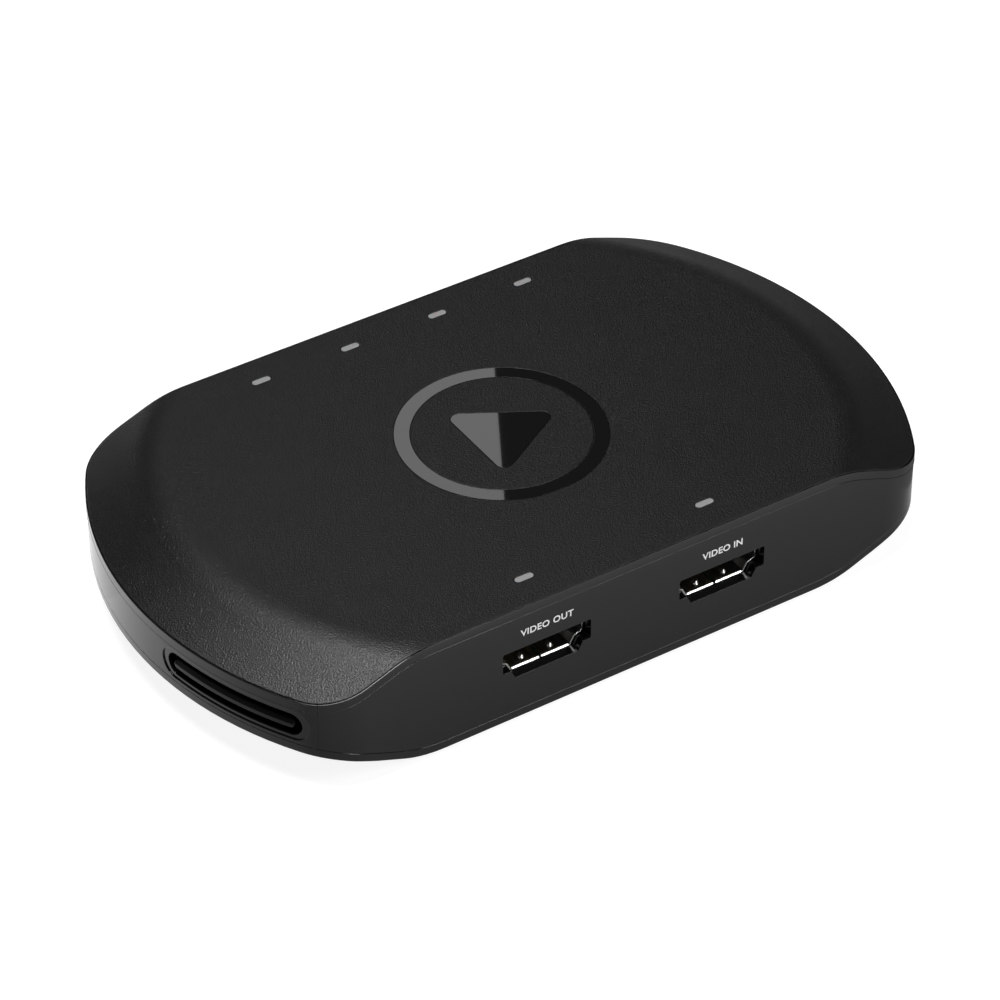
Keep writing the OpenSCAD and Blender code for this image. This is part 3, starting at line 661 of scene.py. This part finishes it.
def rim_corners(work, sides):
    """Corners of a mesh that lie on the outline, each with the way outwards."""
    found = {}
    for corner in work.verts:
        for start, along, reach, outwards in sides:
            away = corner.co.xy / MM - start
            beside = -OUTLINE_NEAR < along.dot(away) < reach + OUTLINE_NEAR
            if beside and abs(outwards.dot(away)) < OUTLINE_NEAR:
                found[corner] = outwards.to_3d()
                break
    return found


def rim_edges(work, rim, up):
    """Edges of the outline where the side meets the face that looks up or down."""
    found = []
    for edge in work.edges:
        if edge.verts[0] in rim and edge.verts[1] in rim:
            tilts = [face.normal.z * up for face in edge.link_faces]
            if max(tilts) > LOOKS_UP > min(tilts):
                found.append(edge)
    return found


def round_edges(work, edges, radius):
    """Rounds the edges that are still there."""
    whole = [edge for edge in edges if edge.is_valid]
    bmesh.ops.bevel(work, geom=whole, offset=radius, segments=EDGE_STEPS, profile=0.5, affect="EDGES")


def stand_in(work, node):
    """The worked copy takes the place of its solid."""
    mesh = bpy.data.meshes.new(node + "_softened")
    work.to_mesh(mesh)
    work.free()
    smooth_by_angle(mesh, CASE_SHARP)
    piece = own_piece(node + "_softened", mesh, find_finish("satin_case"), [node])
    # Large flat faces keep their own shading beside the small faces of the creases
    even = piece.modifiers.new("even_shading", "WEIGHTED_NORMAL")
    even.keep_sharp = True


def smooth_by_angle(mesh, degrees):
    """Smooth shading, with sharp edges from the given angle on. Faces without area go."""
    work = bmesh.new()
    work.from_mesh(mesh)
    bmesh.ops.dissolve_degenerate(work, dist=NO_LENGTH, edges=work.edges)
    for face in work.faces:
        face.smooth = True
    for edge in work.edges:
        edge.smooth = edge.calc_face_angle(0.0) < math.radians(degrees)
    work.to_mesh(mesh)
    work.free()


# Operators
class BoxOperator(Operator):
    """Shared settings of the steps that dress the box."""

    bl_options = {"REGISTER"}


class CAPTUREBOX_OT_finish_case(BoxOperator):
    """Finish the covers, the panels, the vent inserts and the emblem"""

    bl_idname = "capture_box.finish_case"
    bl_label = "Finish the case"

    def execute(self, context):
        finish_solids("top_cover", "emblem_inlay", *PANELS, "base_cover")
        # Painted shade on the vent inserts: a darker finish than the case's, for the shade deep in the
        # vents
        dull = vent_black()
        for name in ("left_vent_insert", "right_vent_insert"):
            frame["nodes"][name].data.materials[0] = dull
        return {"FINISHED"}


class CAPTUREBOX_OT_finish_lights(BoxOperator):
    """Finish the light guides with their lenses and the lamps"""

    bl_idname = "capture_box.finish_lights"
    bl_label = "Finish the lights"

    def execute(self, context):
        finish_solids("rear_light_guide", "front_light_guide", "indicator_lamps")
        return {"FINISHED"}


class CAPTUREBOX_OT_finish_sockets(BoxOperator):
    """Finish the video sockets, the data socket and the audio jacks"""

    bl_idname = "capture_box.finish_sockets"
    bl_label = "Finish the sockets"

    def execute(self, context):
        for socket in ("video_out", "video_in", "data_socket"):
            finish_solids(socket + "_shell", socket + "_tongue", socket + "_contacts")
        finish_solids("left_audio_jack", "middle_audio_jack", "right_audio_jack", "audio_jack_tabs")
        return {"FINISHED"}


class CAPTUREBOX_OT_finish_board(BoxOperator):
    """Finish the circuit board and the parts on it"""

    bl_idname = "capture_box.finish_board"
    bl_label = "Finish the board"

    def execute(self, context):
        finish_solids("main_board", "processor_chip", "thermal_pad", "heat_sink", "memory_chips",
                      "bridge_chip", "clock_crystal", "power_coils", "capacitors")
        return {"FINISHED"}


class CAPTUREBOX_OT_print_words(BoxOperator):
    """Print the generic words above the two video sockets"""

    bl_idname = "capture_box.print_words"
    bl_label = "Print the words"

    def execute(self, context):
        ink = printed_ink()
        for node, word in (("video_out_shell", "VIDEO OUT"), ("video_in_shell", "VIDEO IN")):
            low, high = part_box(node)
            self.print_word(node.replace("shell", "word"), word, (low.x + high.x) / 2, ink)
        return {"FINISHED"}

    def print_word(self, name, word, x, ink):
        """A raised word of one unit's thickness, shrunk to its height and set on the front wall."""
        text = bpy.data.curves.new(name, "FONT")
        text.body = word
        text.align_x = "CENTER"
        text.offset = WORD_BOLD
        text.space_character = WORD_SPACE
        text.extrude = 0.5
        text.resolution_u = 4
        holder = add_object(name + "_holder", text)
        mesh = evaluated_mesh(holder, name)
        bpy.data.objects.remove(holder)
        bpy.data.curves.remove(text)
        tall = max(corner.co.y for corner in mesh.vertices)
        size = sizes().word_height / tall
        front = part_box("front_panel")[0].y + sizes().wall_step
        stand = Matrix.Rotation(math.pi / 2, 4, "X")
        shrink = Matrix.Diagonal((size, size, sizes().ink_thick, 1.0))
        mesh.transform(Matrix.Translation((x, front, sizes().word_level)) @ stand @ shrink)
        own_piece(name, mesh, ink)


class CAPTUREBOX_OT_make_screws(BoxOperator):
    """Make the case screws and the board screws with heads, recesses and threads"""

    bl_idname = "capture_box.make_screws"
    bl_label = "Make the screws"

    def execute(self, context):
        tree = screw_tree()
        self.make(tree, "case_screws", recess=sizes().recess_width, turn=0.0, **CASE_SCREW)
        self.make(tree, "board_screws", recess=BOARD_SCREW_RECESS, turn=math.pi, **BOARD_SCREW)
        return {"FINISHED"}

    def make(self, tree, node, recess, turn, head, shank):
        """One set of four screws in place of its solids, heads down or turned over."""
        low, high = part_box(node)
        head_radius, head_height = (part * MM for part in head)
        shank_radius, reach = (part * MM for part in shank)
        mesh = grown_mesh(node + "_detailed", tree, {
            "Head Radius": head_radius, "Head Height": head_height, "Head Edge": 0.3 * MM,
            "Shank Radius": shank_radius - THREAD_ROOT, "Length": reach, "Recess Length": recess,
            "Recess Width": 0.25 * recess, "Recess Depth": 0.6 * head_height, "Thread Rise": 0.7 * MM,
            "Thread Height": 0.14 * MM, "Half X": high.x - head_radius, "Half Y": high.y - head_radius,
            "Level": high.z if turn else low.z, "Turn": turn, "Finish": find_finish("screw_steel")})
        smooth_by_angle(mesh, SCREW_SHARP)
        own_piece(node + "_detailed", mesh, find_finish("screw_steel"), [node])


class CAPTUREBOX_OT_make_feet(BoxOperator):
    """Make the four rubber feet with rounded rims"""

    bl_idname = "capture_box.make_feet"
    bl_label = "Make the feet"

    def execute(self, context):
        low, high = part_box("rubber_feet")
        rubber = find_finish("foot_rubber")
        mesh = grown_mesh("rubber_feet_rimmed", foot_tree(), {
            "Radius": FOOT_RADIUS, "Height": high.z - low.z, "Rim Width": sizes().foot_rim,
            "Rim Round": 0.4 * MM, "Sink": 0.2 * MM, "Half X": high.x - FOOT_RADIUS,
            "Half Y": high.y - FOOT_RADIUS, "Finish": rubber})
        smooth_by_angle(mesh, FOOT_SHARP)
        own_piece("rubber_feet_rimmed", mesh, rubber, ["rubber_feet"])
        return {"FINISHED"}


class CAPTUREBOX_OT_soften_base(BoxOperator):
    """Make the base cover flush with the walls, with rounded edges"""

    bl_idname = "capture_box.soften_base"
    bl_label = "Soften the base"

    def execute(self, context):
        work = solid_copy("base_cover")
        rim = rim_corners(work, outline_sides(work))
        for corner, outwards in rim.items():
            corner.co -= outwards * sizes().base_step
        work.normal_update()
        lower = rim_edges(work, rim, -1)
        upper = rim_edges(work, rim, 1)
        for corner in {corner for edge in upper for corner in edge.verts}:
            corner.co.z -= sizes().seam_gap
        round_edges(work, upper, sizes().seam_round)
        round_edges(work, lower, sizes().base_round)
        stand_in(work, "base_cover")
        return {"FINISHED"}


class CAPTUREBOX_OT_make_ridge(BoxOperator):
    """Make the fine ridge along the lower edge of the strip at the rim"""

    bl_idname = "capture_box.make_ridge"
    bl_label = "Make the ridge"

    def execute(self, context):
        copies = {node: solid_copy(node) for node in PANELS}
        sides = outline_sides(*copies.values())
        ridge = bmesh.new()
        for node, work in copies.items():
            size = sizes().ridge_end if "end" in node else 1.0
            self.follow(ridge, work, rim_corners(work, sides), size)
            work.free()
        bmesh.ops.recalc_face_normals(ridge, faces=ridge.faces)
        mesh = bpy.data.meshes.new("rim_ridge")
        ridge.to_mesh(mesh)
        ridge.free()
        smooth_by_angle(mesh, CASE_SHARP)
        own_piece("rim_ridge", mesh, find_finish("satin_case"))
        return {"FINISHED"}

    def follow(self, ridge, work, rim, size):
        """One stretch of the ridge along a panel, closed at both ends."""
        section = {}
        ends = []
        for edge in rim_edges(work, rim, -1):
            for corner in edge.verts:
                if corner in section:
                    ends.remove(corner)
                else:
                    ends.append(corner)
                    section[corner] = self.section(ridge, corner.co, rim[corner], size)
            first, second = (section[corner] for corner in edge.verts)
            for here, there in ((0, 1), (1, 2), (2, 0)):
                ridge.faces.new((first[here], first[there], second[there], second[here]))
        for corner in ends:
            ridge.faces.new(section[corner])

    def section(self, ridge, foot, outwards, size):
        """Corners of the ridge's cross-section: on the strip, at its crest and under the strip."""
        rise = Vector((0.0, 0.0, sizes().ridge_height * size))
        proud = outwards * sizes().ridge_proud * size
        under = Vector((0.0, 0.0, proud.length))
        return [ridge.verts.new(spot) for spot in (foot + rise, foot + proud, foot - under - proud)]


# Stage: levels of light, and places and sizes in metres
WHITE = (1.0, 1.0, 1.0, 1.0)
FLOOR_REACH = 6.0
FLOOR_TONE = (0.3, 0.3, 0.3, 1.0)
FLOOR_GLOW = 0.88
STUDIO_DIM = 0.016

# Cards that lie just above the floor, up to a place behind the middle and beside the right end
CARD_LIFT = 0.2 * MM
CARD_FAR = 1.2
CARD_BACK = 0.022
CARD_SIDE = 0.066
# Strength of the cards along Y, as pairs of place and strength
FRONT_CARD = ((-0.0585, 0.95), (-0.0567, 0.56), (-0.038, 0.38), (-0.034, 0.42), (0.022, 1.25))
RIGHT_CARD = ((-0.0585, 0.9), (-0.0567, 0.52), (-0.038, 0.32), (-0.02, 0.1), (0.05, 0.1), (0.2, 0.5))

CAMERA_PLACE = (-0.28280, -0.43717, 0.42347)
CAMERA_TILT = math.radians(51.439)
CAMERA_TURN = math.radians(-32.869)
CAMERA_LENS = 156.1
CAMERA_SENSOR = 36.0

# Soft lights: name, place, aim, width and height, and power in watts
SOFTBOXES = (
    ("softbox_above", (-0.16, 0.0, 0.8), (0.0, 0.0, 0.0), (0.34, 0.3), 6.0),
    ("softbox_front", (0.46, -0.70, 0.70), (0.0, 0.0, 0.0), (0.45, 0.45), 4.9),
    ("softbox_low", (0.25, -1.1, 0.22), (0.0, 0.0, 0.01), (0.4, 0.16), 3.0),
)
# The light behind the box, whose right edge lies straight behind it as the camera looks
BEHIND_DISTANCE = 1.0
BEHIND_HEIGHT = 0.8
BEHIND_SIZE = (0.24, 0.36)
BEHIND_POWER = 0.56


class CAPTUREBOX_OT_set_stage(BoxOperator):
    """Set up the floor, the soft lights, the background and the camera"""

    bl_idname = "capture_box.set_stage"
    bl_label = "Set the stage"

    def execute(self, context):
        self.make_floor()
        self.make_cards()
        self.make_background()
        self.make_lights()
        self.make_camera()
        context.scene.view_settings.view_transform = "Standard"
        return {"FINISHED"}

    def seen_directly(self, tree):
        """One for rays from the camera, mirror rays and rays through clear pieces."""
        path = add_node(tree, "ShaderNodeLightPath")
        first = add_node(tree, "ShaderNodeMath", operation="MAXIMUM")
        second = add_node(tree, "ShaderNodeMath", operation="MAXIMUM")
        tree.links.new(path.outputs["Is Camera Ray"], first.inputs[0])
        tree.links.new(path.outputs["Is Glossy Ray"], first.inputs[1])
        tree.links.new(first.outputs[0], second.inputs[0])
        tree.links.new(path.outputs["Is Transmission Ray"], second.inputs[1])
        return second.outputs[0]

    def flat_piece(self, name, low, high, level, finish):
        """A rectangle between two corners, seen from above, at one level."""
        mesh = bpy.data.meshes.new(name)
        corners = [(low[0], low[1], level), (high[0], low[1], level),
                   (high[0], high[1], level), (low[0], high[1], level)]
        mesh.from_pydata(corners, [], [(0, 1, 2, 3)])
        mesh.materials.append(finish)
        return add_object(name, mesh)

    def make_floor(self):
        """A floor that shows white, and keeps the shadow of the box."""
        made, tree = bare_finish("pale_floor")
        glow = add_node(tree, "ShaderNodeEmission", {"Color": WHITE, "Strength": FLOOR_GLOW})
        dull = add_node(tree, "ShaderNodeBsdfDiffuse", {"Color": FLOOR_TONE})
        both = add_node(tree, "ShaderNodeAddShader")
        choice = add_node(tree, "ShaderNodeMixShader")
        end = add_node(tree, "ShaderNodeOutputMaterial")
        tree.links.new(glow.outputs[0], both.inputs[0])
        tree.links.new(dull.outputs[0], both.inputs[1])
        tree.links.new(self.seen_directly(tree), choice.inputs["Fac"])
        tree.links.new(dull.outputs[0], choice.inputs[1])
        tree.links.new(both.outputs[0], choice.inputs[2])
        tree.links.new(choice.outputs[0], end.inputs["Surface"])
        low = (-FLOOR_REACH, -FLOOR_REACH)
        high = (FLOOR_REACH, FLOOR_REACH)
        floor = self.flat_piece("floor", low, high, 0.0, made)

    def make_cards(self):
        """Cards that only mirror rays see, so that they shape the reflections and nothing else."""
        self.card("front_card", (-CARD_FAR, -CARD_FAR), (CARD_SIDE, CARD_BACK), FRONT_CARD)
        self.card("right_card", (CARD_SIDE, -CARD_FAR), (CARD_FAR, CARD_FAR), RIGHT_CARD)

    def card(self, name, low, high, levels):
        """A glowing card whose strength changes along Y, given as pairs of place and strength."""
        made, tree = bare_finish(name)
        place = add_node(tree, "ShaderNodeTexCoord")
        split = add_node(tree, "ShaderNodeSeparateXYZ")
        start, stop = levels[0][0], levels[-1][0]
        along = add_node(tree, "ShaderNodeMapRange", {"From Min": start, "From Max": stop})
        ramp = add_node(tree, "ShaderNodeValToRGB")
        points = ramp.color_ramp.elements
        while len(points) < len(levels):
            points.new(0.5)
        for point, (y, strength) in zip(points, levels):
            point.position = (y - start) / (stop - start)
            point.color = (strength, strength, strength, 1.0)
        glow = add_node(tree, "ShaderNodeEmission")
        end = add_node(tree, "ShaderNodeOutputMaterial")
        tree.links.new(place.outputs["Object"], split.inputs["Vector"])
        tree.links.new(split.outputs["Y"], along.inputs["Value"])
        tree.links.new(along.outputs["Result"], ramp.inputs["Fac"])
        tree.links.new(ramp.outputs["Color"], glow.inputs["Color"])
        tree.links.new(glow.outputs[0], end.inputs["Surface"])
        card = self.flat_piece(name, low, high, CARD_LIFT, made)
        card.visible_camera = False
        card.visible_diffuse = False
        card.visible_shadow = False

    def make_background(self):
        """White for the camera, and a dim studio for all other rays."""
        world = bpy.data.worlds.new("studio")
        bpy.context.scene.world = world
        world.use_nodes = True
        tree = world.node_tree
        tree.nodes.clear()
        white = add_node(tree, "ShaderNodeBackground", {"Color": WHITE, "Strength": 1.0})
        dim = add_node(tree, "ShaderNodeBackground", {"Color": WHITE, "Strength": STUDIO_DIM})
        choice = add_node(tree, "ShaderNodeMixShader")
        path = add_node(tree, "ShaderNodeLightPath")
        end = add_node(tree, "ShaderNodeOutputWorld")
        tree.links.new(path.outputs["Is Camera Ray"], choice.inputs["Fac"])
        tree.links.new(dim.outputs[0], choice.inputs[1])
        tree.links.new(white.outputs[0], choice.inputs[2])
        tree.links.new(choice.outputs[0], end.inputs["Surface"])

    def make_lights(self):
        """Soft lights above, in front, low down and behind the box."""
        for settings in SOFTBOXES:
            self.softbox(*settings)
        away = Vector((math.sin(-CAMERA_TURN), math.cos(-CAMERA_TURN), 0.0))
        left = Vector((-away.y, away.x, 0.0))
        place = away * BEHIND_DISTANCE + left * (BEHIND_SIZE[0] / 2) + Vector((0.0, 0.0, BEHIND_HEIGHT))
        self.softbox("softbox_behind", place, (0.0, 0.0, 0.0), BEHIND_SIZE, BEHIND_POWER)

    def softbox(self, name, place, target, size, power):
        """A rectangular light that is aimed at a target."""
        lamp = bpy.data.lights.new(name, "AREA")
        lamp.shape = "RECTANGLE"
        lamp.size, lamp.size_y = size
        lamp.energy = power
        holder = add_object(name, lamp)
        holder.location = place
        aim = Vector(target) - Vector(place)
        holder.rotation_euler = aim.to_track_quat("-Z", "Y").to_euler()

    def make_camera(self):
        """The camera at the photograph's viewing angle."""
        lens = bpy.data.cameras.new("camera")
        lens.lens = CAMERA_LENS
        lens.sensor_width = CAMERA_SENSOR
        lens.clip_start = 0.01
        camera = add_object("camera", lens)
        camera.location = CAMERA_PLACE
        camera.rotation_euler = (CAMERA_TILT, 0.0, CAMERA_TURN)
        bpy.context.scene.camera = camera


STEPS = (
    CAPTUREBOX_OT_finish_case,
    CAPTUREBOX_OT_finish_lights,
    CAPTUREBOX_OT_finish_sockets,
    CAPTUREBOX_OT_finish_board,
    CAPTUREBOX_OT_print_words,
    CAPTUREBOX_OT_make_screws,
    CAPTUREBOX_OT_make_feet,
    CAPTUREBOX_OT_soften_base,
    CAPTUREBOX_OT_make_ridge,
    CAPTUREBOX_OT_set_stage,
)


class CAPTUREBOX_PT_pieces(Panel):
    """Lists the steps that dress the box, and their settings."""

    bl_label = "Capture box"
    bl_space_type = "VIEW_3D"
    bl_region_type = "UI"
    bl_category = "Capture box"

    def draw(self, context):
        for step in STEPS:
            self.layout.operator(step.bl_idname)
        for group in (context.scene.capture_box_sizes, context.scene.capture_box_colours):
            for name in group.__annotations__:
                self.layout.prop(group, name)


CLASSES = (CaptureBoxSizes, CaptureBoxColours, *STEPS, CAPTUREBOX_PT_pieces)


def register():
    for piece in CLASSES:
        bpy.utils.register_class(piece)
    bpy.types.Scene.capture_box_sizes = PointerProperty(type=CaptureBoxSizes)
    bpy.types.Scene.capture_box_colours = PointerProperty(type=CaptureBoxColours)


def unregister():
    del bpy.types.Scene.capture_box_colours
    del bpy.types.Scene.capture_box_sizes
    for piece in reversed(CLASSES):
        bpy.utils.unregister_class(piece)


def main():
    """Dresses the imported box."""
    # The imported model's plain materials leave the names of the slots to the finishes
    for plain in bpy.data.materials:
        plain.name = "plain_" + plain.name
    register()
    bpy.ops.capture_box.finish_case()
    bpy.ops.capture_box.finish_lights()
    bpy.ops.capture_box.finish_sockets()
    bpy.ops.capture_box.finish_board()
    bpy.ops.capture_box.print_words()
    bpy.ops.capture_box.make_screws()
    bpy.ops.capture_box.make_feet()
    bpy.ops.capture_box.soften_base()
    bpy.ops.capture_box.make_ridge()
    bpy.ops.capture_box.set_stage()


if __name__ == "__main__":
    main()
